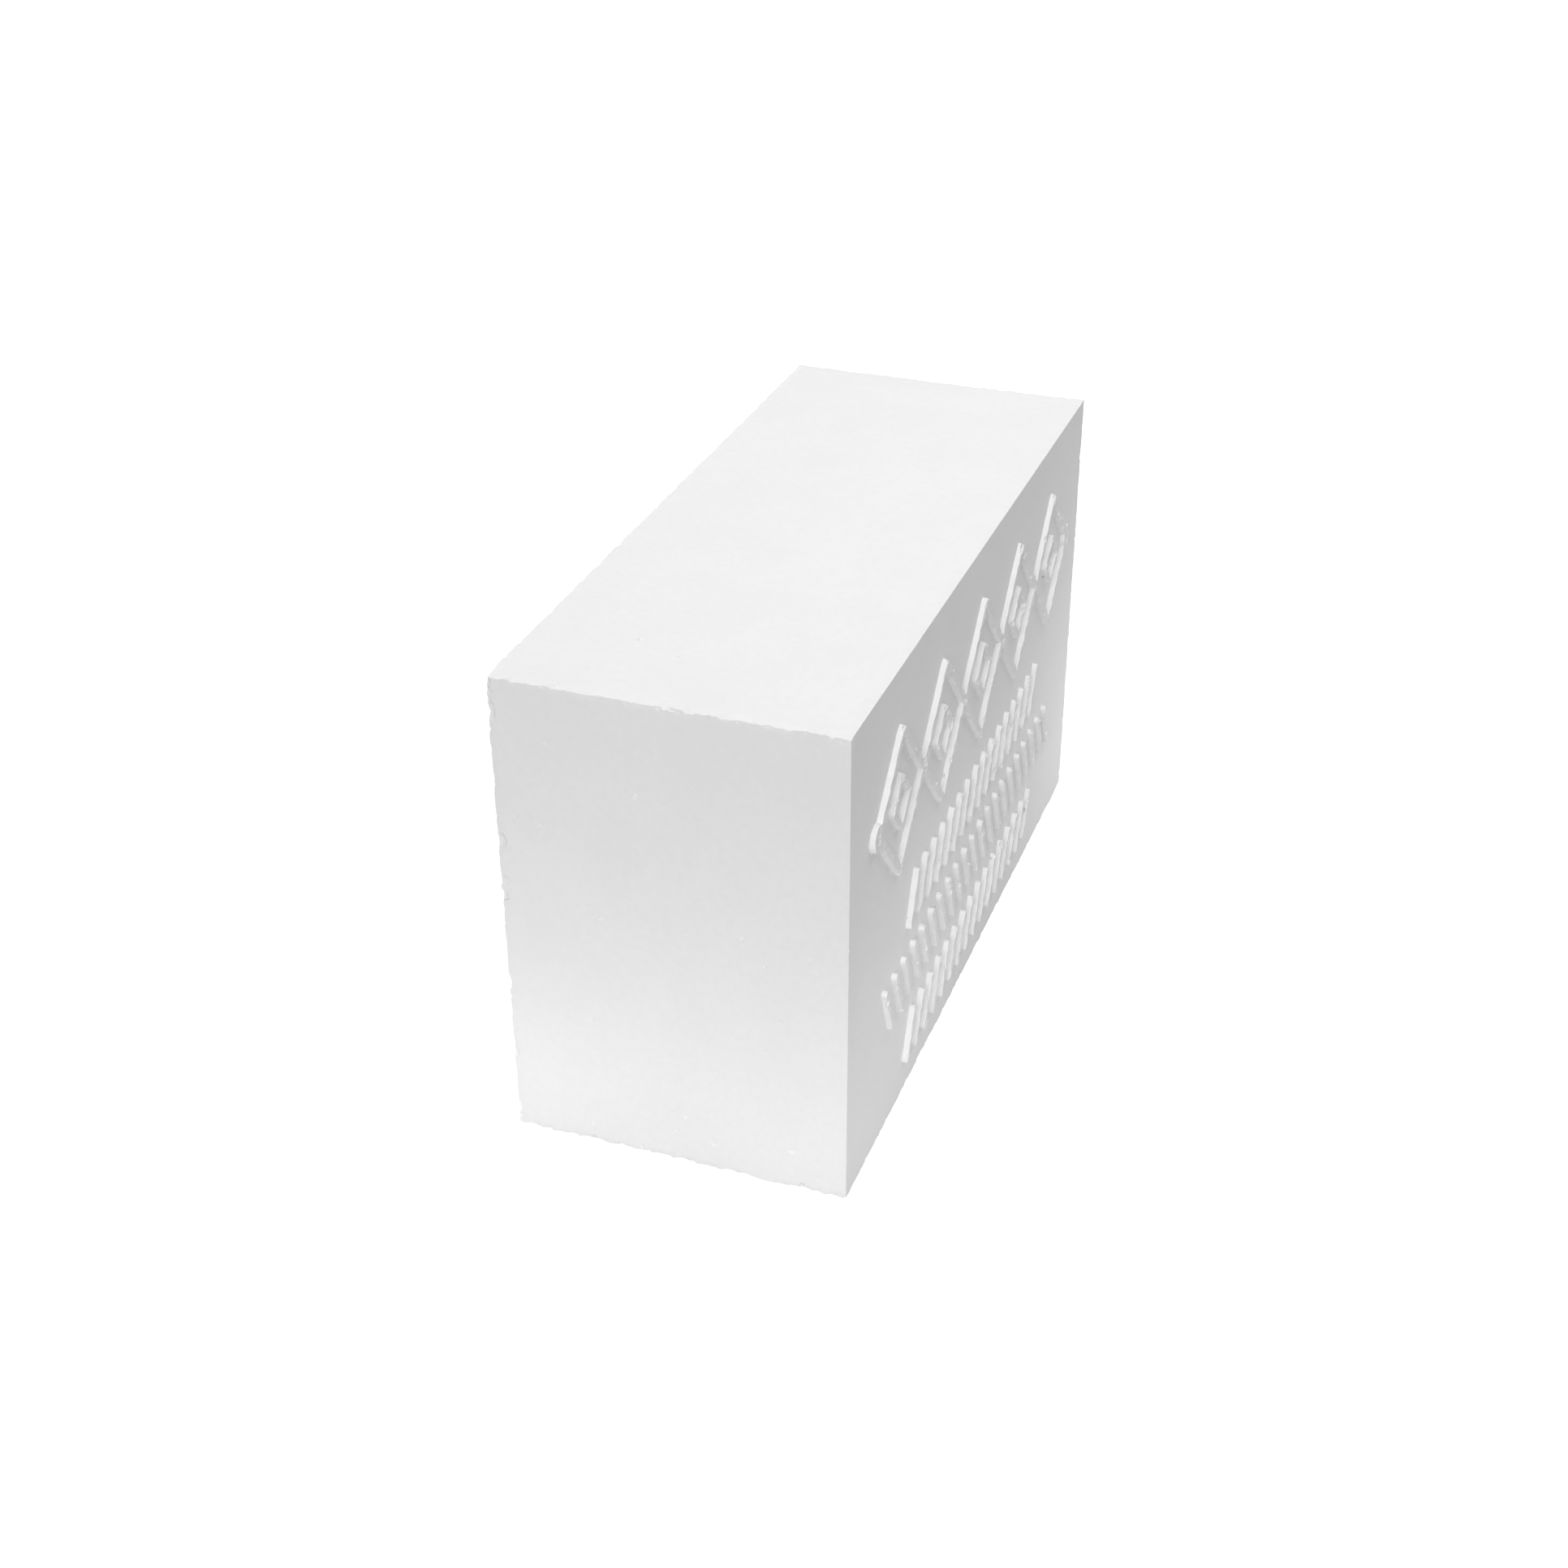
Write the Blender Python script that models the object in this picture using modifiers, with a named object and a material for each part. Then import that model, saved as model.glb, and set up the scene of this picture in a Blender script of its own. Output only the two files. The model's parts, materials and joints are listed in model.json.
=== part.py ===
"""Gymnastics chalk block, pressed in one piece from magnesium carbonate.

Run with: blender --background --python part.py

Metres, +Z up. The origin is the centre of the base face. The length runs along X, the thickness along
Y and the height along Z. The -Y face carries a raised grip pattern: a chain of lozenges over rows of
slanted bars. The other five faces are plain and flat.
"""

import math

import bmesh
import bpy
from mathutils import Matrix

# The pressing.
LENGTH = 0.0760
THICKNESS = 0.0314
HEIGHT = 0.0462
EDGE_RADIUS = 0.0002

# The bare border between the pattern and the edges of the face.
SIDE_MARGIN = 0.0048
TOP_MARGIN = 0.0052
BASE_MARGIN = 0.0030

# The chain: two zigzag lines in opposite phase, which enclose lozenges between their crossings.
LOZENGES = 5
CHAIN_HEIGHT = 0.0150
LINE_WIDTH = 0.0012
LINE_RISE = 0.0006

# The small lozenge inside each one, of the same slant.
INNER_LOZENGE_HEIGHT = 0.0060
INNER_LINE_WIDTH = 0.0010

# The flat stud over each end of the chain.
STUD_WIDTH = 0.0030
STUD_RISE = 0.0006

# The bars: rows in the field below the chain, each slanted against the one above it.
BARS_IN_ROW = (16, 21, 16)
ROW_SIDE_MARGIN = 0.0090
CHAIN_GAP = 0.0024
ROW_GAP = 0.0018
BAR_WIDTH = 0.0011
BAR_RISE = 0.0006
BAR_TILT = math.radians(22)

# How finely the round shapes are cut into flat facets.
EDGE_SEGMENTS = 3
STUD_SEGMENTS = 28
BAR_SEGMENTS = 18

WELD_DISTANCE = 1e-6
FRONT = -THICKNESS / 2  # the Y of the front face, from which the pattern rises towards -Y

CHALK_WHITE = (0.88, 0.88, 0.875, 1.0)
CHALK_ROUGHNESS = 0.95


def clear_scene():
    """Remove every object that is in the file, such as the startup cube."""
    for obj in list(bpy.data.objects):
        bpy.data.objects.remove(obj)


def new_collection(name):
    collection = bpy.data.collections.new(name)
    bpy.context.scene.collection.children.link(collection)
    return collection


def chalk_material():
    material = bpy.data.materials.new("pressed_chalk")
    material.use_nodes = True
    shader = material.node_tree.nodes["Principled BSDF"]
    shader.inputs["Base Color"].default_value = CHALK_WHITE
    shader.inputs["Roughness"].default_value = CHALK_ROUGHNESS
    shader.inputs["Metallic"].default_value = 0.0
    return material


def mesh_object(name, bm, collection):
    """Turn a bmesh into an object in the collection, and free the bmesh."""
    mesh = bpy.data.meshes.new(name)
    bm.to_mesh(mesh)
    bm.free()
    obj = bpy.data.objects.new(name, mesh)
    collection.objects.link(obj)
    return obj


def block_core(collection, material):
    """The plain pressing, resting on Z = 0, with every edge slightly rounded."""
    bm = bmesh.new()
    bmesh.ops.create_cube(bm, size=1.0)
    bmesh.ops.scale(bm, vec=(LENGTH, THICKNESS, HEIGHT), verts=bm.verts)
    bmesh.ops.translate(bm, vec=(0.0, 0.0, HEIGHT / 2), verts=bm.verts)
    block = mesh_object("chalk_block", bm, collection)
    block.data.materials.append(material)
    bevel = block.modifiers.new("rounded_edges", "BEVEL")
    bevel.width = EDGE_RADIUS
    bevel.segments = EDGE_SEGMENTS
    bevel.limit_method = "ANGLE"
    return block


def raised_line(name, points, closed, width, collection):
    """A line with upright sides that runs through the (X, Z) points, half of it buried in the front face."""
    curve = bpy.data.curves.new(name, "CURVE")
    curve.dimensions = "2D"
    curve.fill_mode = "NONE"
    curve.extrude = LINE_RISE
    spline = curve.splines.new("POLY")
    spline.points.add(len(points) - 1)
    for spline_point, (x, z) in zip(spline.points, points):
        spline_point.co = (x, z, 0.0, 1.0)
    spline.use_cyclic_u = closed
    guide = bpy.data.objects.new(name, curve)
    guide.rotation_euler.x = math.radians(90)
    guide.location.y = FRONT
    collection.objects.link(guide)

    # A curve can't take part in a Boolean, so its evaluated mesh takes its place.
    graph = bpy.context.evaluated_depsgraph_get()
    mesh = bpy.data.meshes.new_from_object(guide.evaluated_get(graph))
    bm = bmesh.new()
    bm.from_mesh(mesh)
    bmesh.ops.remove_doubles(bm, verts=bm.verts, dist=WELD_DISTANCE)
    line = mesh_object(name + "_line", bm, collection)
    line.matrix_world = guide.matrix_world
    bpy.data.objects.remove(guide)
    bpy.data.meshes.remove(mesh)
    walls = line.modifiers.new("width", "SOLIDIFY")
    walls.thickness = width
    walls.offset = 0.0
    walls.use_even_offset = True
    return line


def round_stub(width, rise, segments):
    """A bmesh of an upright-sided round stub along Y, half of it in front of the origin and half behind."""
    bm = bmesh.new()
    bmesh.ops.create_cone(
        bm, cap_ends=True, segments=segments, radius1=width / 2, radius2=width / 2, depth=2 * rise
    )
    bmesh.ops.transform(bm, matrix=Matrix.Rotation(math.radians(90), 4, "X"), verts=bm.verts)
    return bm


def stud(name, x, z, collection):
    """A flat round stud, half of it buried in the front face."""
    bm = round_stub(STUD_WIDTH, STUD_RISE, STUD_SEGMENTS)
    bmesh.ops.translate(bm, vec=(x, FRONT, z), verts=bm.verts)
    return mesh_object(name, bm, collection)


def grip_bar(name, x, z, length, tilt, collection):
    """A bar with round ends, half of it buried in the front face, tilted in the plane of the face."""
    bm = round_stub(BAR_WIDTH, BAR_RISE, BAR_SEGMENTS)
    # No corner of the round lies at mid-height, so its two halves can be drawn apart, and the faces
    # between them become the straight sides of the bar.
    half_travel = max(0.0, length - BAR_WIDTH) / 2
    for vertex in bm.verts:
        vertex.co.z += math.copysign(half_travel, vertex.co.z)
    bmesh.ops.transform(bm, matrix=Matrix.Rotation(tilt, 4, "Y"), verts=bm.verts)
    bmesh.ops.translate(bm, vec=(x, FRONT, z), verts=bm.verts)
    return mesh_object(name, bm, collection)


def lozenge_chain(collection):
    """The two zigzag lines, the small lozenge in each large one and the studs that close the two ends."""
    span = LENGTH - 2 * SIDE_MARGIN - STUD_WIDTH
    reach = span / LOZENGES
    swing = (CHAIN_HEIGHT - LINE_WIDTH) / 2
    centre_z = HEIGHT - TOP_MARGIN - CHAIN_HEIGHT / 2
    centres = [(lozenge + 0.5) * reach - span / 2 for lozenge in range(LOZENGES)]
    for name, phase in (("upper_zigzag", 1), ("lower_zigzag", -1)):
        turns = [(x, centre_z + phase * swing * (-1) ** index) for index, x in enumerate(centres)]
        points = [(-span / 2, centre_z), *turns, (span / 2, centre_z)]
        raised_line(name, points, False, LINE_WIDTH, collection)

    half_height = (INNER_LOZENGE_HEIGHT - INNER_LINE_WIDTH) / 2
    half_width = half_height * reach / 2 / swing
    for index, x in enumerate(centres):
        corners = [(half_width, 0.0), (0.0, half_height), (-half_width, 0.0), (0.0, -half_height)]
        points = [(x + aside, centre_z + up) for aside, up in corners]
        raised_line(f"inner_lozenge_{index + 1}", points, True, INNER_LINE_WIDTH, collection)

    for name, x in (("left_stud", -span / 2), ("right_stud", span / 2)):
        stud(name, x, centre_z, collection)


def bar_rows(collection):
    """Rows of slanted bars, as tall as the field below the chain allows, the longest between the margins."""
    rows = len(BARS_IN_ROW)
    field_height = HEIGHT - TOP_MARGIN - CHAIN_HEIGHT - CHAIN_GAP - BASE_MARGIN
    row_height = (field_height - (rows - 1) * ROW_GAP) / rows
    length = (row_height - BAR_WIDTH) / math.cos(BAR_TILT) + BAR_WIDTH
    lean = (length - BAR_WIDTH) * math.sin(BAR_TILT) + BAR_WIDTH
    pitch = (LENGTH - 2 * ROW_SIDE_MARGIN - lean) / (max(BARS_IN_ROW) - 1)
    for row, bars in enumerate(BARS_IN_ROW):
        z = BASE_MARGIN + row_height / 2 + row * (row_height + ROW_GAP)
        tilt = BAR_TILT if row % 2 == 0 else -BAR_TILT
        for bar in range(bars):
            x = (bar - (bars - 1) / 2) * pitch
            grip_bar(f"row_{row + 1}_bar_{bar + 1}", x, z, length, tilt, collection)


def raise_pattern(block, pattern):
    """Join every shape of the pattern to the block, and keep the shapes themselves out of the model."""
    for shape in pattern.objects:
        shape.hide_render = True
        shape.display_type = "WIRE"
    union = block.modifiers.new("raised_pattern", "BOOLEAN")
    union.operation = "UNION"
    union.solver = "EXACT"
    union.operand_type = "COLLECTION"
    union.collection = pattern


def main():
    clear_scene()
    part = new_collection("gymnastics_chalk_block")
    pattern = new_collection("raised_pattern_shapes")
    block = block_core(part, chalk_material())
    lozenge_chain(pattern)
    bar_rows(pattern)
    raise_pattern(block, pattern)


main()
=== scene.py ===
"""Looks of the gymnastics chalk block: the worn pressing, its dry chalk finish and the studio round it.

All lengths are in metres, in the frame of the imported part: X runs along the length, Y from the patterned
front face to the plain back face, and Z up from the base face.
"""

import json
import logging
import math
import random
from contextlib import contextmanager
from dataclasses import dataclass
from enum import Enum, IntEnum
from typing import Callable, Iterable, Iterator

import bpy
import numpy as np
from mathutils import Euler, Matrix, Vector

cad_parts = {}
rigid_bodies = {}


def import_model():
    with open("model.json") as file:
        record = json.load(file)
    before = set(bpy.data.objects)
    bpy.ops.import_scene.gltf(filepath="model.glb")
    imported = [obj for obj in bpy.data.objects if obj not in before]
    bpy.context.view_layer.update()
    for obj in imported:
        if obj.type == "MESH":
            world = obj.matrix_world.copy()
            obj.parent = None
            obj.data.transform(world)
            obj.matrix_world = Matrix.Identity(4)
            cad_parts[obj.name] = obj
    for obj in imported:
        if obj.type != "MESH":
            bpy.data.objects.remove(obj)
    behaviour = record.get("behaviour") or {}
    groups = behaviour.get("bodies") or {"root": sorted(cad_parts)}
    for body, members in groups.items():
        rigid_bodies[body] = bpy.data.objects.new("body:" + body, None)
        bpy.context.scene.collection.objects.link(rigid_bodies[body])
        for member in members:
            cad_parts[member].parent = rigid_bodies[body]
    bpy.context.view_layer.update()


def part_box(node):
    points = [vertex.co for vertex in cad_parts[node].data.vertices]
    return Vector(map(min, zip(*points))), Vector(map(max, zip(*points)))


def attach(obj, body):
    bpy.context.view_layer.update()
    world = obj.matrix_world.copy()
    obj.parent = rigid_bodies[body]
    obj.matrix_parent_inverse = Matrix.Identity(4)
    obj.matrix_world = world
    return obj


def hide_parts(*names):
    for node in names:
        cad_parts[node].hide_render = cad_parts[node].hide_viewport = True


log = logging.getLogger("chalk_block")

BODY = "root"
NODE = "chalk_block"

MM = 0.001
ON_FACE = 0.001 * MM  # a point this near to a face lies on it
NEARLY_ALL = 0.9  # a point beyond this share of a stroke's rise lies on its top

Place = tuple[float, float, float]
Spread = tuple[float, float]  # the lowest and the highest value of an even random draw


class Axis(IntEnum):
    """An axis of the frame, which also indexes a point's coordinates."""

    X = 0
    Y = 1
    Z = 2


class Corner(Enum):
    """A corner of the brick, by its end along X, Y and Z: 0 for the low end and 1 for the high one."""

    LEFT_FRONT_BASE = (0, 0, 0)
    LEFT_FRONT_TOP = (0, 0, 1)
    LEFT_BACK_BASE = (0, 1, 0)
    LEFT_BACK_TOP = (0, 1, 1)
    RIGHT_FRONT_BASE = (1, 0, 0)
    RIGHT_FRONT_TOP = (1, 0, 1)
    RIGHT_BACK_BASE = (1, 1, 0)
    RIGHT_BACK_TOP = (1, 1, 1)


class Face(Enum):
    """A face of the brick, by the axis that it lies across and its end of that axis, as for a corner."""

    LEFT = (Axis.X, 0)
    RIGHT = (Axis.X, 1)
    FRONT = (Axis.Y, 0)
    BACK = (Axis.Y, 1)
    BASE = (Axis.Z, 0)
    TOP = (Axis.Z, 1)


class Handling(Enum):
    """How hard an edge has been handled: how deep it flakes, its chips for each metre and their size."""

    CRISP = (0.05 * MM, 200, 0.09 * MM)
    EASED = (0.20 * MM, 260, 0.15 * MM)
    CHIPPED = (0.28 * MM, 500, 0.26 * MM)
    RUBBED = (0.34 * MM, 900, 0.16 * MM)
    CRUMBLED = (0.42 * MM, 900, 0.22 * MM)

    @property
    def flake_depth(self) -> float:
        """How deep the edge has flaked at most."""
        return self.value[0]

    @property
    def chips_per_metre(self) -> float:
        """The number of chips for each metre of edge."""
        return self.value[1]

    @property
    def chip_size(self) -> float:
        """The half thickness of a usual chip."""
        return self.value[2]


class FlakeForm(Enum):
    """The form of flakes, as the texture that gives it."""

    BROKEN_CELLS = "VORONOI"
    ROLLING_DENTS = "CLOUDS"


class Joining(Enum):
    """What combining does with the shapes, as the Boolean modifier calls it."""

    RAISE = "UNION"
    BITE = "DIFFERENCE"


def deselect_all() -> None:
    """Leave object mode with nothing selected."""
    if bpy.context.object and bpy.context.object.mode != "OBJECT":
        bpy.ops.object.mode_set(mode="OBJECT")
    bpy.ops.object.select_all(action="DESELECT")


def pick(obj: bpy.types.Object) -> None:
    """Select one object alone and make it active.

    Args:
        obj: The object to pick.
    """
    deselect_all()
    obj.select_set(True)
    bpy.context.view_layer.objects.active = obj


@contextmanager
def editing(obj: bpy.types.Object) -> Iterator[None]:
    """Edit one object's mesh, with everything selected at first, and go back to object mode after.

    Args:
        obj: The mesh object to edit.
    """
    pick(obj)
    bpy.ops.object.mode_set(mode="EDIT")
    bpy.ops.mesh.select_all(action="SELECT")
    yield
    bpy.ops.object.mode_set(mode="OBJECT")


@contextmanager
def choosing(kind: str) -> Iterator[None]:
    """Drop the selection of edit mode, and leave that mode while a new one is chosen in the mesh data.

    Args:
        kind: VERT, EDGE or FACE.
    """
    bpy.ops.mesh.select_all(action="DESELECT")
    bpy.ops.mesh.select_mode(type=kind)
    bpy.ops.object.mode_set(mode="OBJECT")
    yield
    bpy.ops.object.mode_set(mode="EDIT")


def select_vertices(obj: bpy.types.Object, keep: Callable[[Vector], bool]) -> None:
    """Select, in edit mode, the vertices whose place passes a test, and nothing else.

    Args:
        obj: The object in edit mode.
        keep: The test, given the vertex's place.
    """
    with choosing("VERT"):
        for vertex in obj.data.vertices:
            vertex.select = keep(vertex.co)


def select_edges(obj: bpy.types.Object, keep: Callable[[Vector, Vector], bool]) -> None:
    """Select, in edit mode, the edges whose two ends pass a test, and nothing else.

    Args:
        obj: The object in edit mode.
        keep: The test, given the places of the edge's ends.
    """
    with choosing("EDGE"):
        points = obj.data.vertices
        for edge in obj.data.edges:
            edge.select = keep(points[edge.vertices[0]].co, points[edge.vertices[1]].co)


def select_faces(obj: bpy.types.Object, keep: Callable[[bpy.types.MeshPolygon], bool]) -> None:
    """Select, in edit mode, the faces that pass a test, and nothing else.

    Args:
        obj: The object in edit mode.
        keep: The test, given the face.
    """
    with choosing("FACE"):
        for face in obj.data.polygons:
            face.select = keep(face)


def modify(obj: bpy.types.Object, kind: str, **settings: object) -> None:
    """Add a modifier, set it and apply it.

    Args:
        obj: The object to change.
        kind: Blender's name of the modifier's type.
        settings: The modifier's settings by name.
    """
    pick(obj)
    bpy.ops.object.modifier_add(type=kind)
    modifier = obj.modifiers[-1]
    for name, value in settings.items():
        setattr(modifier, name, value)
    bpy.ops.object.modifier_apply(modifier=modifier.name)


def settle(obj: bpy.types.Object) -> None:
    """Apply an object's place, turn and size to its mesh."""
    pick(obj)
    bpy.ops.object.transform_apply(location=True, rotation=True, scale=True)


def copy_of(obj: bpy.types.Object, name: str) -> bpy.types.Object:
    """Make a copy that has its own mesh.

    Args:
        obj: The object to copy.
        name: The copy's name.

    Returns:
        The copy.
    """
    pick(obj)
    bpy.ops.object.duplicate(linked=False)
    copy = bpy.context.object
    copy.name = name
    return copy


def remove(objects: Iterable[bpy.types.Object]) -> None:
    """Delete objects that have served their purpose."""
    for obj in objects:
        bpy.data.objects.remove(obj)


def combine(target: bpy.types.Object, shapes: list[bpy.types.Object], joining: Joining) -> None:
    """Join shapes to a closed mesh or cut them out of it, and remove them.

    Args:
        target: The mesh that stays.
        shapes: Closed meshes, which may overlap one another.
        joining: Whether the shapes are raised on the mesh or bite into it.
    """
    group = bpy.data.collections.new("shapes")
    for shape in shapes:
        group.objects.link(shape)
    bpy.context.scene.collection.children.link(group)
    modify(
        target,
        "BOOLEAN",
        operation=joining.value,
        solver="MANIFOLD",
        operand_type="COLLECTION",
        collection=group,
    )
    remove(shapes)
    bpy.data.collections.remove(group)


def points_of(obj: bpy.types.Object) -> np.ndarray:
    """Read the places of a mesh's vertices.

    Args:
        obj: The mesh object.

    Returns:
        An array with a row for each vertex.
    """
    flat = np.empty(len(obj.data.vertices) * 3)
    obj.data.vertices.foreach_get("co", flat)
    return flat.reshape(-1, 3)


def weigh(obj: bpy.types.Object, name: str, weights: np.ndarray, levels: int = 24) -> None:
    """Store a weight for each vertex in a vertex group, in a few even steps.

    Args:
        obj: The mesh object.
        name: The vertex group's name.
        weights: A weight from 0 to 1 for each vertex.
        levels: The number of steps.
    """
    group = obj.vertex_groups.new(name=name)
    steps = np.rint(np.clip(weights, 0.0, 1.0) * levels).astype(int)
    for level in range(1, levels + 1):
        members = np.flatnonzero(steps == level)
        if members.size:
            group.add(members.tolist(), level / levels, "REPLACE")


@dataclass
class Box:
    """The plain brick without its pattern."""

    low: Vector
    high: Vector

    @property
    def size(self) -> Vector:
        """The brick's length, thickness and height."""
        return self.high - self.low

    @property
    def centre(self) -> Vector:
        """The middle of the brick."""
        return (self.low + self.high) / 2

    def place(self, corner: Corner) -> Vector:
        """Find where a corner of the brick lies."""
        return Vector((self.low, self.high)[end][axis] for axis, end in enumerate(corner.value))


@dataclass(frozen=True)
class Edge:
    """One edge of the brick.

    A `crowding` above 1 gathers its chips towards the start.
    """

    start: Corner
    end: Corner
    handling: Handling
    crowding: float = 1.0

    @property
    def axis(self) -> Axis:
        """The axis that the edge runs along."""
        return next(axis for axis in Axis if self.start.value[axis] != self.end.value[axis])

    def distance(self, box: Box, points: np.ndarray) -> np.ndarray:
        """Measure how far points are from the edge.

        Args:
            box: The brick.
            points: The points, a row each.

        Returns:
            A distance for each point.
        """
        start, end = (np.array(box.place(corner)) for corner in (self.start, self.end))
        run = end - start
        along = np.clip((points - start) @ run / (run @ run), 0.0, 1.0)
        return np.linalg.norm(points - (start + along[:, None] * run), axis=1)


@dataclass(frozen=True)
class Side:
    """The wear of one face of the brick: its share of what the edges flake, and its small pits.

    A `crowding` above 1 gathers the pits towards the face's low end along Z.
    """

    face: Face
    flaking: float
    pits: int
    crowding: float = 1.0

    @property
    def axis(self) -> Axis:
        """The axis that the face lies across."""
        return self.face.value[0]

    @property
    def end(self) -> int:
        """The face's end of its axis."""
        return self.face.value[1]

    @property
    def inward(self) -> int:
        """The direction into the brick along the face's axis."""
        return -1 if self.end else 1

    def depth(self, box: Box, points: np.ndarray) -> np.ndarray:
        """Measure how far points lie behind the face."""
        plane = (box.low, box.high)[self.end][self.axis]
        return (points[:, self.axis] - plane) * self.inward


@dataclass(frozen=True)
class Rib:
    """The section of a raised line: steep sides with a little draft, and softened top edges.

    The ends are rounded by `round_corners` corners in all, and the straight sides are cut across about
    every `cut_spacing`, which lets them wear unevenly.
    """

    width: float
    rise: float = 0.6 * MM
    draft: float = math.radians(6)
    softening: float = 0.12 * MM
    softening_rows: int = 3
    round_corners: int = 26
    cut_spacing: float = 0.45 * MM

    def stroke(self, length: float) -> bpy.types.Object:
        """Model an upright stroke with round ends at the origin, half of it behind the plane Y = 0.

        Args:
            length: The stroke's length between the tips of its round ends.

        Returns:
            The stroke.
        """
        deselect_all()
        bpy.ops.mesh.primitive_cylinder_add(
            vertices=self.round_corners,
            radius=self.width / 2,
            depth=2 * self.rise,
            rotation=(math.pi / 2, 0.0, 0.0),
        )
        stroke = bpy.context.object
        stroke.name = "stroke"
        settle(stroke)
        taper = 1 - 2 * self.rise * math.tan(self.draft) / (self.width / 2)
        travel = (length - self.width) / 2
        with editing(stroke):
            select_vertices(stroke, lambda co: co.y < 0)
            bpy.ops.transform.resize(value=(taper, 1.0, taper), center_override=(0.0, -self.rise, 0.0))
            select_edges(stroke, lambda a, b: max(a.y, b.y) < -NEARLY_ALL * self.rise)
            bpy.ops.mesh.bevel(offset=self.softening, segments=self.softening_rows, affect="EDGES")
            # No corner of the round lies at mid-height, so its two halves can be drawn apart.
            for side in (1, -1):
                select_vertices(stroke, lambda co: co.z * side > 0)
                bpy.ops.transform.translate(value=(0.0, 0.0, side * travel))
            cuts = round(2 * travel / self.cut_spacing)
            for cut in range(1, cuts):
                bpy.ops.mesh.select_all(action="SELECT")
                height = (2 * cut / cuts - 1) * travel
                bpy.ops.mesh.bisect(plane_co=(0.0, 0.0, height), plane_no=(0.0, 0.0, 1.0))
        return stroke


@dataclass
class GripPattern:
    """The raised pattern of the front face: a chain of lozenges over rows of slanted bars."""

    box: Box
    side_margin: float = 4.8 * MM
    top_margin: float = 5.2 * MM
    base_margin: float = 3.0 * MM
    lozenges: int = 5
    chain_height: float = 15.0 * MM
    line: Rib = Rib(1.2 * MM)
    inner_height: float = 6.0 * MM
    inner_line: Rib = Rib(1.0 * MM)
    stud: Rib = Rib(3.0 * MM)
    bars_in_row: tuple[int, ...] = (16, 21, 16)
    row_side_margin: float = 9.0 * MM
    chain_gap: float = 2.4 * MM
    row_gap: float = 1.8 * MM
    bar: Rib = Rib(1.1 * MM)
    bar_tilt: float = math.radians(22)

    @property
    def span(self) -> float:
        """The chain's length."""
        return self.box.size.x - 2 * self.side_margin - self.stud.width

    @property
    def reach(self) -> float:
        """The length of one lozenge."""
        return self.span / self.lozenges

    @property
    def swing(self) -> float:
        """How far a lozenge's points lie above and below the chain's middle line."""
        return (self.chain_height - self.line.width) / 2

    @property
    def chain_z(self) -> float:
        """The Z of the chain's middle line."""
        return self.box.high.z - self.top_margin - self.chain_height / 2

    def lay(self, stroke: bpy.types.Object, name: str, x: float, z: float, tilt: float) -> bpy.types.Object:
        """Lay a copy of a stroke on the face.

        Args:
            stroke: The upright stroke.
            name: The copy's name.
            x: The place of its middle along the face.
            z: The height of its middle.
            tilt: Its slant from upright, in the plane of the face.

        Returns:
            The copy.
        """
        copy = copy_of(stroke, name)
        copy.rotation_euler.y = tilt
        copy.location = (x, self.box.low.y, z)
        settle(copy)
        return copy

    def lozenge(
        self, name: str, x: float, leg: bpy.types.Object, wide: float, high: float
    ) -> list[bpy.types.Object]:
        """Lay four copies of a leg round one lozenge.

        Args:
            name: The lozenge's name.
            x: The place of its middle along the face.
            leg: The upright leg.
            wide: Half the lozenge's width along its middle lines.
            high: Half its height along its middle lines.

        Returns:
            The four legs.
        """
        legs = []
        for right, up in ((1, 1), (1, -1), (-1, 1), (-1, -1)):
            place = (x + right * wide / 2, self.chain_z + up * high / 2)
            legs.append(self.lay(leg, f"{name}_leg", *place, -right * up * math.atan2(wide, high)))
        return legs

    def chain(self) -> list[bpy.types.Object]:
        """Lay the large lozenges point to point, a small one inside each, and a stud over each end.

        Returns:
            The chain's legs and studs.
        """
        wide, high = self.reach / 2, self.swing
        small_high = (self.inner_height - self.inner_line.width) / 2
        small_wide = small_high * wide / high
        large_leg = self.line.stroke(math.hypot(wide, high) + self.line.width)
        small_leg = self.inner_line.stroke(math.hypot(small_wide, small_high) + self.inner_line.width)
        stud = self.stud.stroke(self.stud.width)
        pieces = []
        for index in range(self.lozenges):
            x = (index + 0.5) * self.reach - self.span / 2
            pieces += self.lozenge("lozenge", x, large_leg, wide, high)
            pieces += self.lozenge("inner_lozenge", x, small_leg, small_wide, small_high)
        for x in (-self.span / 2, self.span / 2):
            pieces.append(self.lay(stud, "end_stud", x, self.chain_z, 0.0))
        remove((large_leg, small_leg, stud))
        return pieces

    def bar_rows(self) -> list[bpy.types.Object]:
        """Lay the bars in rows that fill the field below the chain.

        Returns:
            The bars.
        """
        rows = len(self.bars_in_row)
        field = self.box.size.z - self.top_margin - self.chain_height - self.chain_gap - self.base_margin
        row_height = (field - (rows - 1) * self.row_gap) / rows
        length = (row_height - self.bar.width) / math.cos(self.bar_tilt) + self.bar.width
        lean = (length - self.bar.width) * math.sin(self.bar_tilt) + self.bar.width
        pitch = (self.box.size.x - 2 * self.row_side_margin - lean) / (max(self.bars_in_row) - 1)
        upright = self.bar.stroke(length)
        bars = []
        for row, count in enumerate(self.bars_in_row):
            z = self.base_margin + row_height / 2 + row * (row_height + self.row_gap)
            tilt = self.bar_tilt if row % 2 == 0 else -self.bar_tilt
            for column in range(count):
                x = (column - (count - 1) / 2) * pitch
                bars.append(self.lay(upright, f"bar_{row}_{column}", x, z, tilt))
        remove([upright])
        return bars

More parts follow.
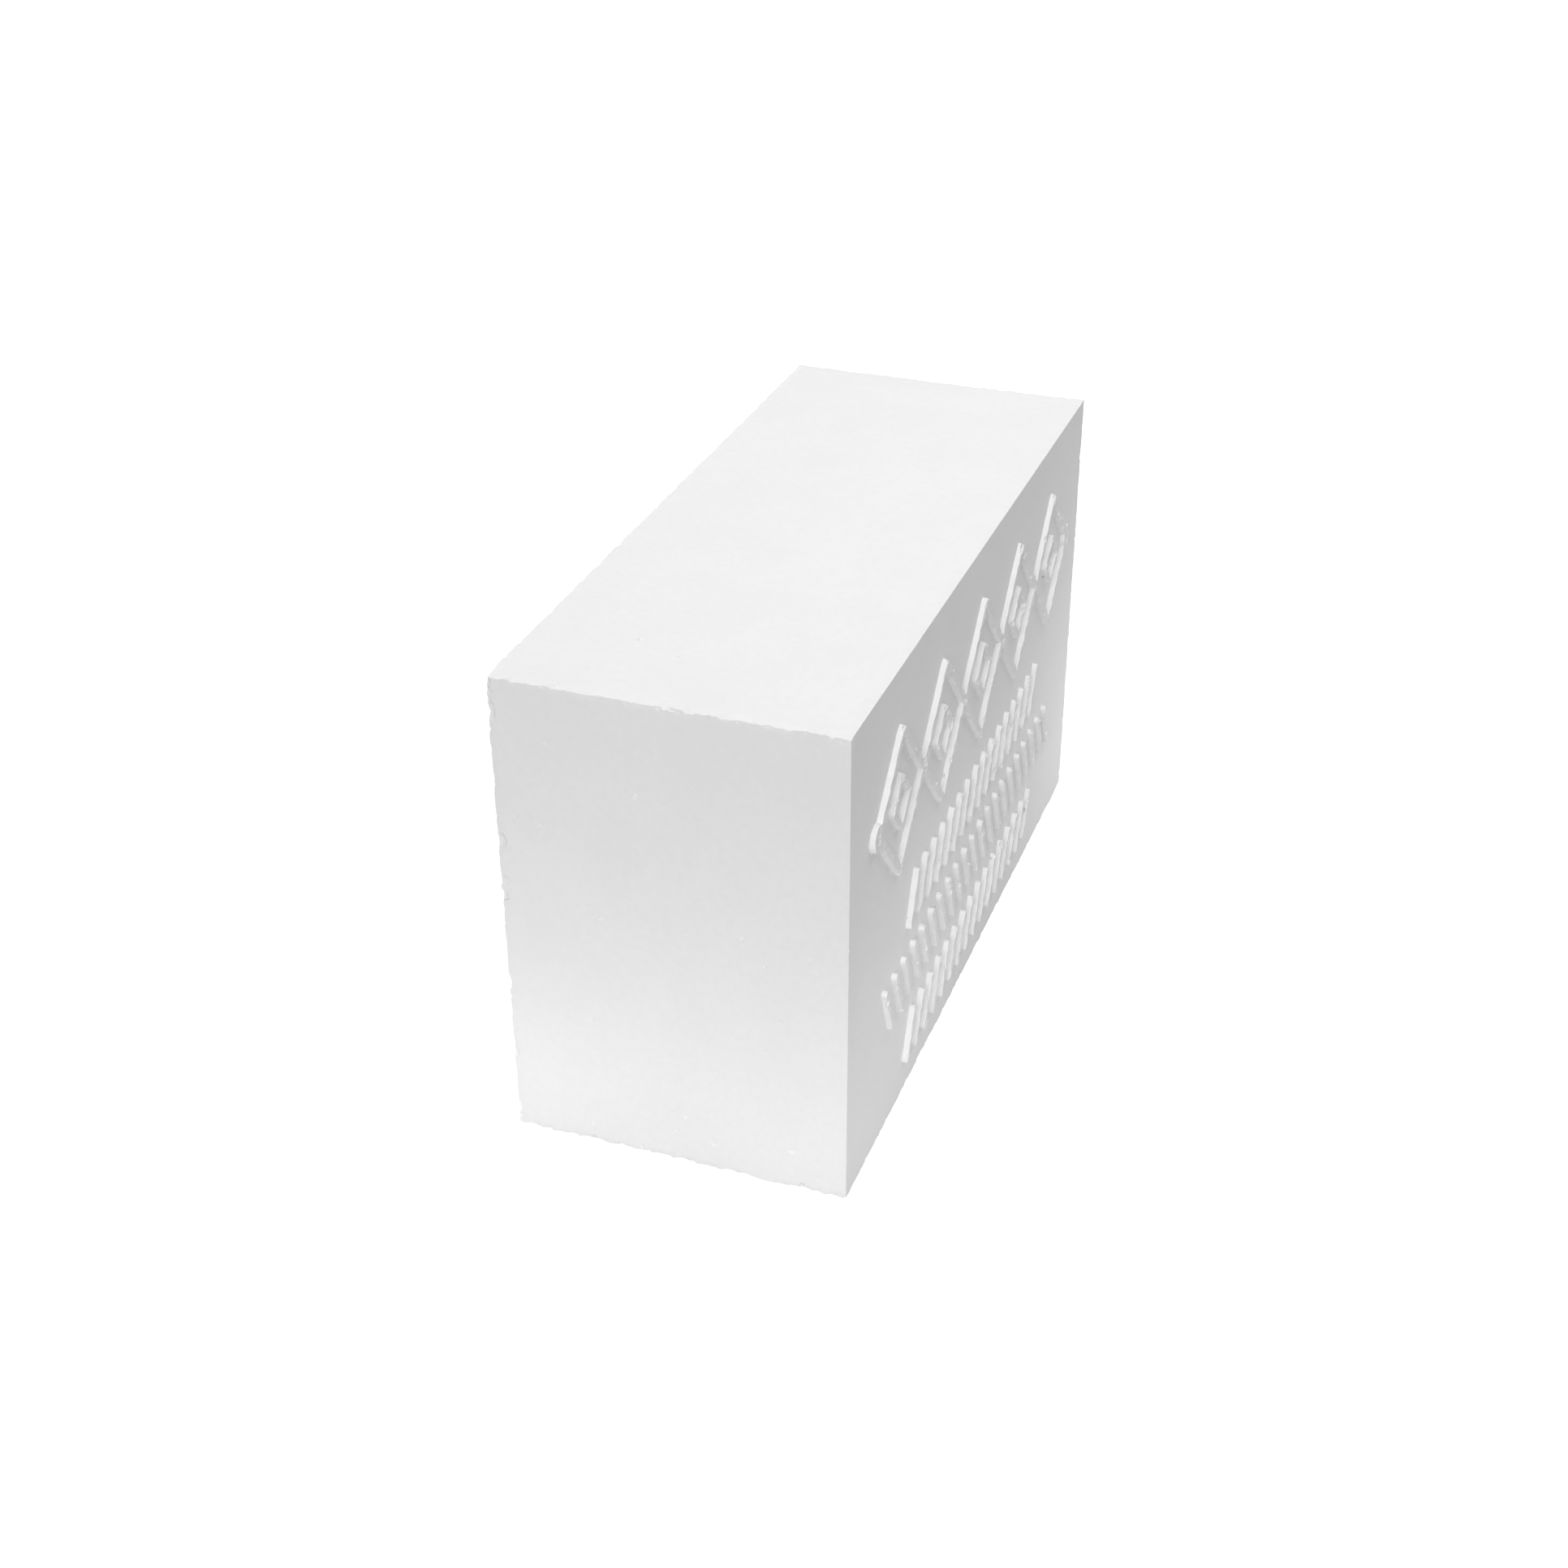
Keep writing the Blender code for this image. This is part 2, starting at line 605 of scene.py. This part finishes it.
    def build(self) -> list[bpy.types.Object]:
        """Model the whole pattern.

        Returns:
            Its strokes and studs, each a closed mesh that reaches into the brick.
        """
        pieces = [*self.chain(), *self.bar_rows()]
        log.info("grip pattern: %d strokes and studs", len(pieces))
        return pieces


@dataclass(frozen=True)
class Flaking:
    """One size of flakes, and the share of the flake depth that they take."""

    name: str
    form: FlakeForm
    size: float
    share: float
    contrast: float
    level: float

    def texture(self) -> bpy.types.Texture:
        """Make the texture that sets the depth of each flake.

        Returns:
            The texture, from 0 where nothing is lost to 1.
        """
        texture = bpy.data.textures.new(self.name, self.form.value)
        texture.noise_scale = self.size
        texture.contrast = self.contrast
        texture.intensity = self.level
        texture.use_clamp = True
        if self.form is FlakeForm.BROKEN_CELLS:
            texture.color_mode = "POSITION"
        return texture


@dataclass(frozen=True)
class Rubbing:
    """The uneven wear of the raised strokes."""

    depth: float = 0.22 * MM
    size: float = 0.9 * MM
    contrast: float = 1.5

    def wear(self, strokes: Iterable[bpy.types.Object]) -> None:
        """Rub the strokes down.

        Args:
            strokes: The strokes.
        """
        noise = bpy.data.textures.new("rubbing", "CLOUDS")
        noise.noise_scale = self.size
        noise.contrast = self.contrast
        noise.use_clamp = True
        for stroke in strokes:
            modify(
                stroke, "DISPLACE", texture=noise, texture_coords="LOCAL", strength=self.depth, mid_level=1.0
            )


@dataclass(frozen=True)
class Lumps:
    """Rough lumps, of one metre half size, whose stretched copies bite holes out of the block."""

    shapes: int = 16
    subdivisions: int = 2
    roughness: float = 0.2
    highest_seed: int = 9999

    def masters(self, rng: random.Random) -> list[bpy.types.Object]:
        """Model the lumps to copy.

        Args:
            rng: The source of their shapes.

        Returns:
            The lumps, each of another shape.
        """
        masters = []
        for _ in range(self.shapes):
            deselect_all()
            bpy.ops.mesh.primitive_ico_sphere_add(subdivisions=self.subdivisions, radius=1.0)
            lump = bpy.context.object
            lump.name = "rough_lump"
            with editing(lump):
                seed = rng.randrange(1, self.highest_seed)
                bpy.ops.transform.vertex_random(offset=self.roughness, seed=seed)
            masters.append(lump)
        return masters

    def copies(self, places: Iterable[Matrix], rng: random.Random) -> list[bpy.types.Object]:
        """Model the lumps and set copies of them, each shape in its turn, at all the places.

        Args:
            places: The matrix of each copy.
            rng: The source of the lumps' shapes.

        Returns:
            The copies.
        """
        masters = self.masters(rng)
        lumps = []
        for index, place in enumerate(places):
            mesh = masters[index % len(masters)].data.copy()
            mesh.transform(place)
            lumps.append(bpy.data.objects.new("lump", mesh))
        remove(masters)
        return lumps


def lump_at(place: Vector, half: Vector, rng: random.Random) -> Matrix:
    """Choose a random turn for a lump, and stretch and move the turned lump.

    Args:
        place: Its centre.
        half: Its half sizes along X, Y and Z.
        rng: The source of its turn.

    Returns:
        The matrix that brings a master lump to its place.
    """
    turn = Euler([rng.uniform(0, math.tau) for _ in range(3)]).to_matrix().to_4x4()
    return Matrix.Translation(place) @ Matrix.Diagonal((*half, 1.0)) @ turn


@dataclass(frozen=True)
class Chips:
    """Flat lumps along the edges, each of which chips one of its edge's two faces.

    A lump's half thickness is a share of the handling's chip size out of `shares`, and it is `along` times
    as long and `across` times as broad. Its middle stands `off` half thicknesses off the face and lies
    `inset` half breadths from the edge.
    """

    shares: Spread = (0.6, 1.4)
    along: Spread = (1.0, 3.5)
    across: Spread = (1.0, 2.5)
    off: Spread = (0.0, 0.6)
    inset: Spread = (-0.2, 1.1)

    def places(self, box: Box, edges: Iterable[Edge], rng: random.Random) -> list[Matrix]:
        """Set lumps along every edge.

        Args:
            box: The brick.
            edges: Its edges.
            rng: The source of the lumps' places, sizes and turns.

        Returns:
            Their matrices.
        """
        lumps = []
        for edge in edges:
            start = box.place(edge.start)
            run = box.place(edge.end) - start
            outward = [math.copysign(1.0, part) for part in start - box.centre]
            for _ in range(round(run.length * edge.handling.chips_per_metre)):
                size = edge.handling.chip_size * rng.uniform(*self.shares)
                thin, broad = rng.sample([axis for axis in Axis if axis != edge.axis], 2)
                half = Vector((size, size, size))
                half[edge.axis] *= rng.uniform(*self.along)
                half[broad] *= rng.uniform(*self.across)
                place = start + run * rng.random() ** edge.crowding
                place[thin] += outward[thin] * size * rng.uniform(*self.off)
                place[broad] -= outward[broad] * half[broad] * rng.uniform(*self.inset)
                lumps.append(lump_at(place, half, rng))
        return lumps


@dataclass(frozen=True)
class Pits:
    """Small lumps that pit the faces.

    A lump's half size is a share of `size` out of `shares`, and `stretch` times that along the face. Its
    middle stands `off` times that off the face, and `across` is where it lies, as shares of the face.
    """

    size: float = 0.50 * MM
    shares: Spread = (0.5, 1.0)
    across: Spread = (0.05, 0.95)
    off: Spread = (0.66, 0.92)
    stretch: Spread = (0.8, 1.3)

    def places(self, box: Box, sides: Iterable[Side], rng: random.Random) -> list[Matrix]:
        """Set lumps over every face.

        Args:
            box: The brick.
            sides: The wear of its faces.
            rng: The source of the lumps' places, sizes and turns.

        Returns:
            Their matrices.
        """
        lumps = []
        for side in sides:
            for _ in range(side.pits):
                size = self.size * rng.uniform(*self.shares)
                across = Vector(rng.uniform(*self.across) for _ in Axis)
                across.z = across.z**side.crowding
                across[side.axis] = float(side.end)
                place = box.low + Vector(a * b for a, b in zip(across, box.size))
                place[side.axis] -= side.inward * size * rng.uniform(*self.off)
                half = Vector(size * rng.uniform(*self.stretch) for _ in Axis)
                half[side.axis] = size
                lumps.append(lump_at(place, half, rng))
        return lumps


@dataclass(frozen=True)
class Nicks:
    """Small lumps that nick the raised strokes where they stand the proudest.

    A lump's half size is a share of `size` out of `shares`, `wide` times that along X and `tall` times
    along Z. Its middle stands `off` times that in front of a point of the stroke.
    """

    count: int = 400
    size: float = 0.25 * MM
    shares: Spread = (0.5, 1.3)
    off: Spread = (0.2, 0.7)
    wide: Spread = (0.8, 1.6)
    tall: Spread = (0.8, 2.2)

    def places(self, strokes: Iterable[bpy.types.Object], rng: random.Random) -> list[Matrix]:
        """Set lumps on the tops of the strokes.

        Args:
            strokes: The strokes.
            rng: The source of the lumps' places, sizes and turns.

        Returns:
            Their matrices.
        """
        tops = np.vstack([points_of(stroke) for stroke in strokes])
        tops = tops[tops[:, Axis.Y] < tops[:, Axis.Y].min() + self.size]
        lumps = []
        for _ in range(self.count):
            size = self.size * rng.uniform(*self.shares)
            place = Vector(tops[rng.randrange(len(tops))])
            place.y -= size * rng.uniform(*self.off)
            half = Vector((size * rng.uniform(*self.wide), size, size * rng.uniform(*self.tall)))
            lumps.append(lump_at(place, half, rng))
        return lumps


@dataclass(frozen=True)
class Pinholes:
    """Small deep lumps beside the raised strokes, where the powder filled the die badly.

    A lump's half size is a share of `size` out of `shares`, `deep` times that along Y and `tall` times
    along Z. Its middle lies `aside` from a point of the stroke, to the left or the right.
    """

    count: int = 70
    size: float = 0.19 * MM
    shares: Spread = (0.6, 1.2)
    aside: Spread = (0.5 * MM, 1.1 * MM)
    deep: float = 1.3
    tall: Spread = (0.8, 1.5)

    def places(self, box: Box, strokes: list[bpy.types.Object], rng: random.Random) -> list[Matrix]:
        """Set lumps on the front face, beside the feet of the strokes.

        Args:
            box: The brick.
            strokes: The strokes.
            rng: The source of the lumps' places, sizes and turns.

        Returns:
            Their matrices.
        """
        lumps = []
        for _ in range(self.count):
            size = self.size * rng.uniform(*self.shares)
            foot = points_of(rng.choice(strokes))
            one, other = (Vector(foot[rng.randrange(len(foot))]) for _ in range(2))
            place = one.lerp(other, rng.random())
            place.x += rng.choice((-1, 1)) * rng.uniform(*self.aside)
            place.y = box.low.y
            half = Vector((size, self.deep * size, size * rng.uniform(*self.tall)))
            lumps.append(lump_at(place, half, rng))
        return lumps


@dataclass
class Wear:
    """What handling does to the soft pressing: flaked and chipped edges, pits, and rubbed strokes.

    The edges flake to a distance of `reach` from them.
    """

    box: Box
    edges: tuple[Edge, ...] = (
        Edge(Corner.LEFT_FRONT_TOP, Corner.RIGHT_FRONT_TOP, Handling.CRISP),
        Edge(Corner.LEFT_BACK_TOP, Corner.RIGHT_BACK_TOP, Handling.EASED),
        Edge(Corner.LEFT_FRONT_TOP, Corner.LEFT_BACK_TOP, Handling.RUBBED),
        Edge(Corner.RIGHT_FRONT_TOP, Corner.RIGHT_BACK_TOP, Handling.EASED),
        Edge(Corner.LEFT_FRONT_BASE, Corner.LEFT_FRONT_TOP, Handling.CRISP),
        Edge(Corner.LEFT_BACK_TOP, Corner.LEFT_BACK_BASE, Handling.CHIPPED, crowding=1.8),
        Edge(Corner.RIGHT_FRONT_BASE, Corner.RIGHT_FRONT_TOP, Handling.EASED),
        Edge(Corner.RIGHT_BACK_TOP, Corner.RIGHT_BACK_BASE, Handling.CHIPPED),
        Edge(Corner.LEFT_FRONT_BASE, Corner.RIGHT_FRONT_BASE, Handling.EASED),
        Edge(Corner.LEFT_BACK_BASE, Corner.RIGHT_BACK_BASE, Handling.CRUMBLED),
        Edge(Corner.LEFT_FRONT_BASE, Corner.LEFT_BACK_BASE, Handling.CRUMBLED),
        Edge(Corner.RIGHT_FRONT_BASE, Corner.RIGHT_BACK_BASE, Handling.CRUMBLED),
    )
    sides: tuple[Side, ...] = (
        Side(Face.LEFT, flaking=0.3, pits=46, crowding=1.5),
        Side(Face.RIGHT, flaking=0.3, pits=36, crowding=1.4),
        Side(Face.FRONT, flaking=0.3, pits=3),
        Side(Face.BACK, flaking=0.3, pits=55, crowding=1.3),
        Side(Face.BASE, flaking=1.0, pits=36),
        Side(Face.TOP, flaking=0.9, pits=3),
    )
    flakings: tuple[Flaking, ...] = (
        Flaking("broken_cells", FlakeForm.BROKEN_CELLS, 0.8 * MM, share=0.5, contrast=4.0, level=0.7),
        Flaking("rolling_dents", FlakeForm.ROLLING_DENTS, 2.4 * MM, share=0.35, contrast=4.0, level=0.75),
        Flaking("fine_crumbs", FlakeForm.BROKEN_CELLS, 0.3 * MM, share=0.15, contrast=3.0, level=0.8),
    )
    reach: float = 0.9 * MM
    chips: Chips = Chips()
    pits: Pits = Pits()
    nicks: Nicks = Nicks()
    pinholes: Pinholes = Pinholes()
    lumps: Lumps = Lumps()
    rubbing: Rubbing = Rubbing()
    seed: int = 11

    def flake(self, brick: bpy.types.Object) -> None:
        """Let each face flake along its edges, into the brick.

        Args:
            brick: The brick with rows of points along its edges.
        """
        points = points_of(brick)
        deepest = max(edge.handling.flake_depth for edge in self.edges)
        textures = [(flaking, flaking.texture()) for flaking in self.flakings]
        for side in self.sides:
            on_face = np.abs(side.depth(self.box, points)) < ON_FACE
            near = np.zeros(len(points))
            for edge in self.edges:
                share = side.flaking * edge.handling.flake_depth / deepest
                near = np.maximum(near, share * (1 - edge.distance(self.box, points) / self.reach))
            name = f"{side.face.name.lower()}_face"
            weigh(brick, name, np.where(on_face, near, 0.0))
            for flaking, texture in textures:
                modify(
                    brick,
                    "DISPLACE",
                    texture=texture,
                    texture_coords="LOCAL",
                    direction=side.axis.name,
                    strength=side.inward * deepest * flaking.share,
                    mid_level=0.0,
                    vertex_group=name,
                )

    def bite(self, block: bpy.types.Object, strokes: list[bpy.types.Object]) -> None:
        """Raise the strokes on the brick, and cut all the chips, pits, nicks and pinholes out of the two.

        Args:
            block: The flaked brick.
            strokes: The strokes, which are used up.
        """
        rng = random.Random(self.seed)
        places = [
            *self.chips.places(self.box, self.edges, rng),
            *self.pits.places(self.box, self.sides, rng),
            *self.nicks.places(strokes, rng),
            *self.pinholes.places(self.box, strokes, rng),
        ]
        combine(block, strokes, Joining.RAISE)
        combine(block, self.lumps.copies(places, rng), Joining.BITE)
        self.drop_crumbs(block)
        log.info("wear: %d chips, pits, nicks and pinholes", len(places))

    def drop_crumbs(self, block: bpy.types.Object) -> None:
        """Remove all that the lumps have cut loose from the block or hollowed out inside it.

        Args:
            block: The bitten block.
        """
        with editing(block):
            widest = max(block.data.polygons, key=lambda face: face.area).index
            select_faces(block, lambda face: face.index == widest)
            bpy.ops.mesh.select_linked()
            bpy.ops.mesh.select_all(action="INVERT")
            bpy.ops.mesh.delete(type="VERT")


def set_inputs(node: bpy.types.Node, values: dict[str, object]) -> bpy.types.Node:
    """Set inputs of a node that nothing is linked to.

    Args:
        node: The node.
        values: A value for each input by name.

    Returns:
        The same node.
    """
    for name, value in values.items():
        node.inputs[name].default_value = value
    return node


def grey(level: float) -> tuple[float, float, float, float]:
    """Make a neutral colour."""
    return (level, level, level, 1.0)


def calculate(
    tree: bpy.types.NodeTree, operation: str, one: bpy.types.NodeSocket, other: bpy.types.NodeSocket
) -> bpy.types.NodeSocket:
    """Work out one value from two.

    Args:
        tree: The nodes to add to.
        operation: Blender's name of the operation.
        one: The first value.
        other: The second value.

    Returns:
        The result.
    """
    maths = tree.nodes.new("ShaderNodeMath")
    maths.operation = operation
    tree.links.new(one, maths.inputs[0])
    tree.links.new(other, maths.inputs[1])
    return maths.outputs["Value"]


def mix_shaders(
    tree: bpy.types.NodeTree, share: bpy.types.NodeSocket, one: bpy.types.Node, other: bpy.types.Node
) -> bpy.types.NodeSocket:
    """Mix two shaders.

    Args:
        tree: The nodes to add to.
        share: The second shader's share.
        one: The first shader.
        other: The second shader.

    Returns:
        The mixed shader.
    """
    mix = tree.nodes.new("ShaderNodeMixShader")
    tree.links.new(share, mix.inputs["Fac"])
    tree.links.new(one.outputs[0], mix.inputs[1])
    tree.links.new(other.outputs[0], mix.inputs[2])
    return mix.outputs["Shader"]


@dataclass(frozen=True)
class ChalkFinish:
    """Dry pressed chalk: very matt, neutral white, with a faint mottle and a powdery grain.

    The scales are features for each metre. The mottle and the speckle are multiplied, and the result goes
    from `grey` at `grey_up_to` to `pale` from `pale_from`.
    """

    pale: float = 0.89
    grey: float = 0.87
    pale_from: float = 0.35
    grey_up_to: float = 0.15
    roughness: float = 0.95
    gloss: float = 0.25
    mottle_scale: float = 130.0
    speckle_scale: float = 1400.0
    grain_scale: float = 3200.0
    noise_detail: float = 3.0
    grain_height: float = 0.012 * MM

    def noise(
        self, tree: bpy.types.NodeTree, place: bpy.types.NodeSocket, scale: float
    ) -> bpy.types.NodeSocket:
        """Add a noise to the material.

        Args:
            tree: The material's nodes.
            place: The coordinates that the noise reads.
            scale: How many features it has in a metre.

        Returns:
            The noise's value.
        """
        noise = tree.nodes.new("ShaderNodeTexNoise")
        set_inputs(noise, {"Scale": scale, "Detail": self.noise_detail})
        tree.links.new(place, noise.inputs["Vector"])
        return noise.outputs["Fac"]

    def material(self) -> bpy.types.Material:
        """Make the finish's material.

        Returns:
            The material.
        """
        material = bpy.data.materials.new("pressed_chalk")
        material.use_nodes = True
        tree = material.node_tree
        shader = tree.nodes["Principled BSDF"]
        set_inputs(shader, {"Roughness": self.roughness, "Specular IOR Level": self.gloss})
        place = tree.nodes.new("ShaderNodeTexCoord").outputs["Object"]

        mottle = self.noise(tree, place, self.mottle_scale)
        speckle = self.noise(tree, place, self.speckle_scale)
        shades = tree.nodes.new("ShaderNodeValToRGB")
        stops = ((self.grey_up_to, self.grey), (self.pale_from, self.pale))
        for element, (position, level) in zip(shades.color_ramp.elements, stops):
            element.position = position
            element.color = grey(level)
        tree.links.new(calculate(tree, "MULTIPLY", mottle, speckle), shades.inputs["Fac"])
        tree.links.new(shades.outputs["Color"], shader.inputs["Base Color"])

        grain = tree.nodes.new("ShaderNodeBump")
        set_inputs(grain, {"Strength": 1.0, "Distance": self.grain_height})
        tree.links.new(self.noise(tree, place, self.grain_scale), grain.inputs["Height"])
        tree.links.new(grain.outputs["Normal"], shader.inputs["Normal"])
        return material

    def dress(self, obj: bpy.types.Object) -> None:
        """Give an object this finish alone."""
        obj.data.materials.clear()
        obj.data.materials.append(self.material())


@dataclass
class PressedBlock:
    """The whole visible block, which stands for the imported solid.

    Beside its edges the brick gets `edge_rows` rows of points on each face, about `row_step` apart along
    the row, which can flake. Edges up to `corner_size` long belong to the corners, and faces smaller than
    `narrow_face` to the rows.
    """

    box: Box
    pattern: GripPattern
    wear: Wear
    finish: ChalkFinish
    edge_rows: int = 3
    row_step: float = 0.25 * MM
    corner_size: float = 1.1 * MM
    narrow_face: float = (10 * MM) ** 2
    crease_angle: float = math.radians(35)

    def divide_rows(self, core: bpy.types.Object, axis: Axis) -> None:
        """Divide, in edit mode, the rows that run along an axis.

        One division makes at most 100 cuts, so two divisions each make about the square root of what is
        wanted.

        Args:
            core: The brick in edit mode, without its wide faces.
            axis: The axis.
        """
        cuts = math.isqrt(round(self.box.size[axis] / self.row_step))
        for _ in range(2):
            select_edges(core, lambda a, b: abs(a[axis] - b[axis]) > self.corner_size)
            bpy.ops.mesh.subdivide(number_cuts=cuts)

    def core(self) -> bpy.types.Object:
        """Model the plain brick, with rows of points along its edges that can flake.

        Returns:
            The brick.
        """
        deselect_all()
        bpy.ops.mesh.primitive_cube_add(size=1.0, location=self.box.centre)
        core = bpy.context.object
        core.name = "pressed_block"
        core.scale = self.box.size
        settle(core)
        with editing(core):
            # A square profile keeps the sharp edge, and only adds the rows beside it.
            segments = 2 * self.edge_rows
            bpy.ops.mesh.bevel(offset=self.wear.reach, segments=segments, profile=1.0, affect="EDGES")
            # The wide faces are left out while the rows are divided, so that they stay whole.
            select_faces(core, lambda face: face.area > self.narrow_face)
            bpy.ops.mesh.delete(type="ONLY_FACE")
            for axis in Axis:
                self.divide_rows(core, axis)
            bpy.ops.mesh.select_all(action="SELECT")
            bpy.ops.mesh.fill_holes(sides=0)
            bpy.ops.mesh.normals_make_consistent(inside=False)
        return core

    def build(self) -> bpy.types.Object:
        """Model the block, wear it, raise the pattern on it and dress it.

        Returns:
            The finished block.
        """
        block = self.core()
        self.wear.flake(block)
        strokes = self.pattern.build()
        self.wear.rubbing.wear(strokes)
        self.wear.bite(block, strokes)
        pick(block)
        bpy.ops.object.shade_smooth_by_angle(angle=self.crease_angle)
        modify(block, "WEIGHTED_NORMAL", keep_sharp=True)
        self.finish.dress(block)
        log.info("block: %d faces", len(block.data.polygons))
        return block


@dataclass(frozen=True)
class Softbox:
    """A soft rectangular lamp, which the camera doesn't see."""

    name: str
    place: Place
    aim: Place
    size: tuple[float, float]
    power: float

    def build(self) -> bpy.types.Object:
        """Hang the lamp and turn it to its aim.

        Returns:
            The lamp.
        """
        bpy.ops.object.light_add(type="AREA", location=self.place)
        lamp = bpy.context.object
        lamp.name = self.name
        lamp.data.shape = "RECTANGLE"
        lamp.data.size, lamp.data.size_y = self.size
        lamp.data.energy = self.power
        lamp.rotation_euler = (Vector(self.aim) - Vector(self.place)).to_track_quat("-Z", "Y").to_euler()
        lamp.visible_camera = False
        return lamp


@dataclass(frozen=True)
class Viewpoint:
    """The camera, to the left of the block's front and above it.

    The turn is in degrees, and the focal length and the sensor's width are in millimetres.
    """

    place: Place = (-0.184686, -0.063877, 0.133514)
    turn: Place = (59.3936, 0.2441, -70.0226)
    focal_length: float = 52.786
    sensor_width: float = 36.0
    nearest: float = 0.01

    def build(self) -> bpy.types.Object:
        """Set up the camera and look through it.

        Returns:
            The camera.
        """
        data = bpy.data.cameras.new("studio_camera")
        data.sensor_width = self.sensor_width
        data.lens = self.focal_length
        data.clip_start = self.nearest
        camera = bpy.data.objects.new("studio_camera", data)
        bpy.context.scene.collection.objects.link(camera)
        camera.location = self.place
        camera.rotation_euler = [math.radians(angle) for angle in self.turn]
        bpy.context.scene.camera = camera
        return camera


@dataclass
class Studio:
    """A plain pale floor, soft light and the camera.

    The floor is white to the camera, as the sum of its glow and what light falls on its seen colour, and of
    a plain pale colour to everything else.
    """

    floor_size: float = 12.0
    floor_colour: float = 0.4
    seen_floor_colour: float = 0.45
    floor_glow: float = 0.865
    surroundings: float = 0.30
    viewpoint: Viewpoint = Viewpoint()
    softboxes: tuple[Softbox, ...] = (
        Softbox("overhead_softbox", (0.04, -0.08, 0.3), (0.04, 0.0, 0.0), (0.25, 0.25), 0.38),
        Softbox("end_softbox", (-0.7, -0.12, 0.35), (0.0, 0.0, 0.02), (0.3, 0.3), 2.66),
        Softbox("back_softbox", (0.45, 0.6, 0.35), (0.0, 0.0, 0.02), (0.3, 0.3), 2.65),
        Softbox("low_end_strip", (-0.068, 0.0, 0.003), (0.0, 0.0, 0.003), (0.06, 0.005), 0.0014),
        Softbox("low_back_corner_strip", (-0.06, 0.022, 0.003), (0.0, 0.022, 0.003), (0.03, 0.005), 0.0011),
        Softbox("low_front_corner_strip", (-0.06, -0.02, 0.003), (0.0, -0.02, 0.003), (0.03, 0.005), 0.0007),
        Softbox("low_near_strip", (-0.03, -0.05, 0.003), (-0.03, 0.0, 0.003), (0.05, 0.006), 0.0032),
        Softbox("low_far_strip", (0.07, -0.05, 0.0045), (0.07, 0.0, 0.0045), (0.08, 0.008), 0.0072),
    )

    def floor_material(self) -> bpy.types.Material:
        """Make the floor's material.

        Returns:
            The material.
        """
        material = bpy.data.materials.new("studio_floor")
        material.use_nodes = True
        tree = material.node_tree
        tree.nodes.clear()
        rays = tree.nodes.new("ShaderNodeLightPath").outputs
        seen = rays["Is Camera Ray"]
        for kind in ("Is Glossy Ray", "Is Transmission Ray"):
            seen = calculate(tree, "MAXIMUM", seen, rays[kind])
        pale = set_inputs(tree.nodes.new("ShaderNodeBsdfDiffuse"), {"Color": grey(self.floor_colour)})
        shaded = set_inputs(tree.nodes.new("ShaderNodeBsdfDiffuse"), {"Color": grey(self.seen_floor_colour)})
        glow = tree.nodes.new("ShaderNodeEmission")
        set_inputs(glow, {"Color": grey(1.0), "Strength": self.floor_glow})
        lit = tree.nodes.new("ShaderNodeAddShader")
        tree.links.new(shaded.outputs["BSDF"], lit.inputs[0])
        tree.links.new(glow.outputs["Emission"], lit.inputs[1])
        out = tree.nodes.new("ShaderNodeOutputMaterial")
        tree.links.new(mix_shaders(tree, seen, pale, lit), out.inputs["Surface"])
        return material

    def floor(self) -> None:
        """Lay the floor, which keeps the block's faint shadow."""
        deselect_all()
        bpy.ops.mesh.primitive_plane_add(size=self.floor_size)
        floor = bpy.context.object
        floor.name = "studio_floor"
        floor.data.materials.append(self.floor_material())

    def world(self) -> None:
        """Fill the surroundings with even light, and show them white."""
        world = bpy.data.worlds.new("studio_world")
        bpy.context.scene.world = world
        world.use_nodes = True
        tree = world.node_tree
        light = set_inputs(tree.nodes["Background"], {"Color": grey(1.0), "Strength": self.surroundings})
        white = set_inputs(tree.nodes.new("ShaderNodeBackground"), {"Color": grey(1.0), "Strength": 1.0})
        seen = tree.nodes.new("ShaderNodeLightPath").outputs["Is Camera Ray"]
        tree.links.new(mix_shaders(tree, seen, light, white), tree.nodes["World Output"].inputs["Surface"])

    def build(self) -> None:
        """Set up the floor, the light and the camera."""
        bpy.context.scene.view_settings.view_transform = "Standard"
        self.floor()
        self.world()
        for softbox in self.softboxes:
            softbox.build()
        self.viewpoint.build()
        log.info("studio: a floor, %d softboxes and a camera", len(self.softboxes))


def plain_box() -> Box:
    """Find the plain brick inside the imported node.

    The origin is the centre of the base, so the front face lies as far from it as the plain back face, and
    what the node reaches beyond that is the pattern.

    Returns:
        The brick.
    """
    low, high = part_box(NODE)
    return Box(Vector((low.x, -high.y, low.z)), high)


def main() -> None:
    """Build the block and the studio."""
    logging.basicConfig(level=logging.INFO, format="%(name)s: %(message)s")
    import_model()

    box = plain_box()
    block = PressedBlock(box, GripPattern(box), Wear(box), ChalkFinish()).build()
    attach(block, BODY)
    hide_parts(NODE)

    Studio().build()


if __name__ == "__main__":
    main()
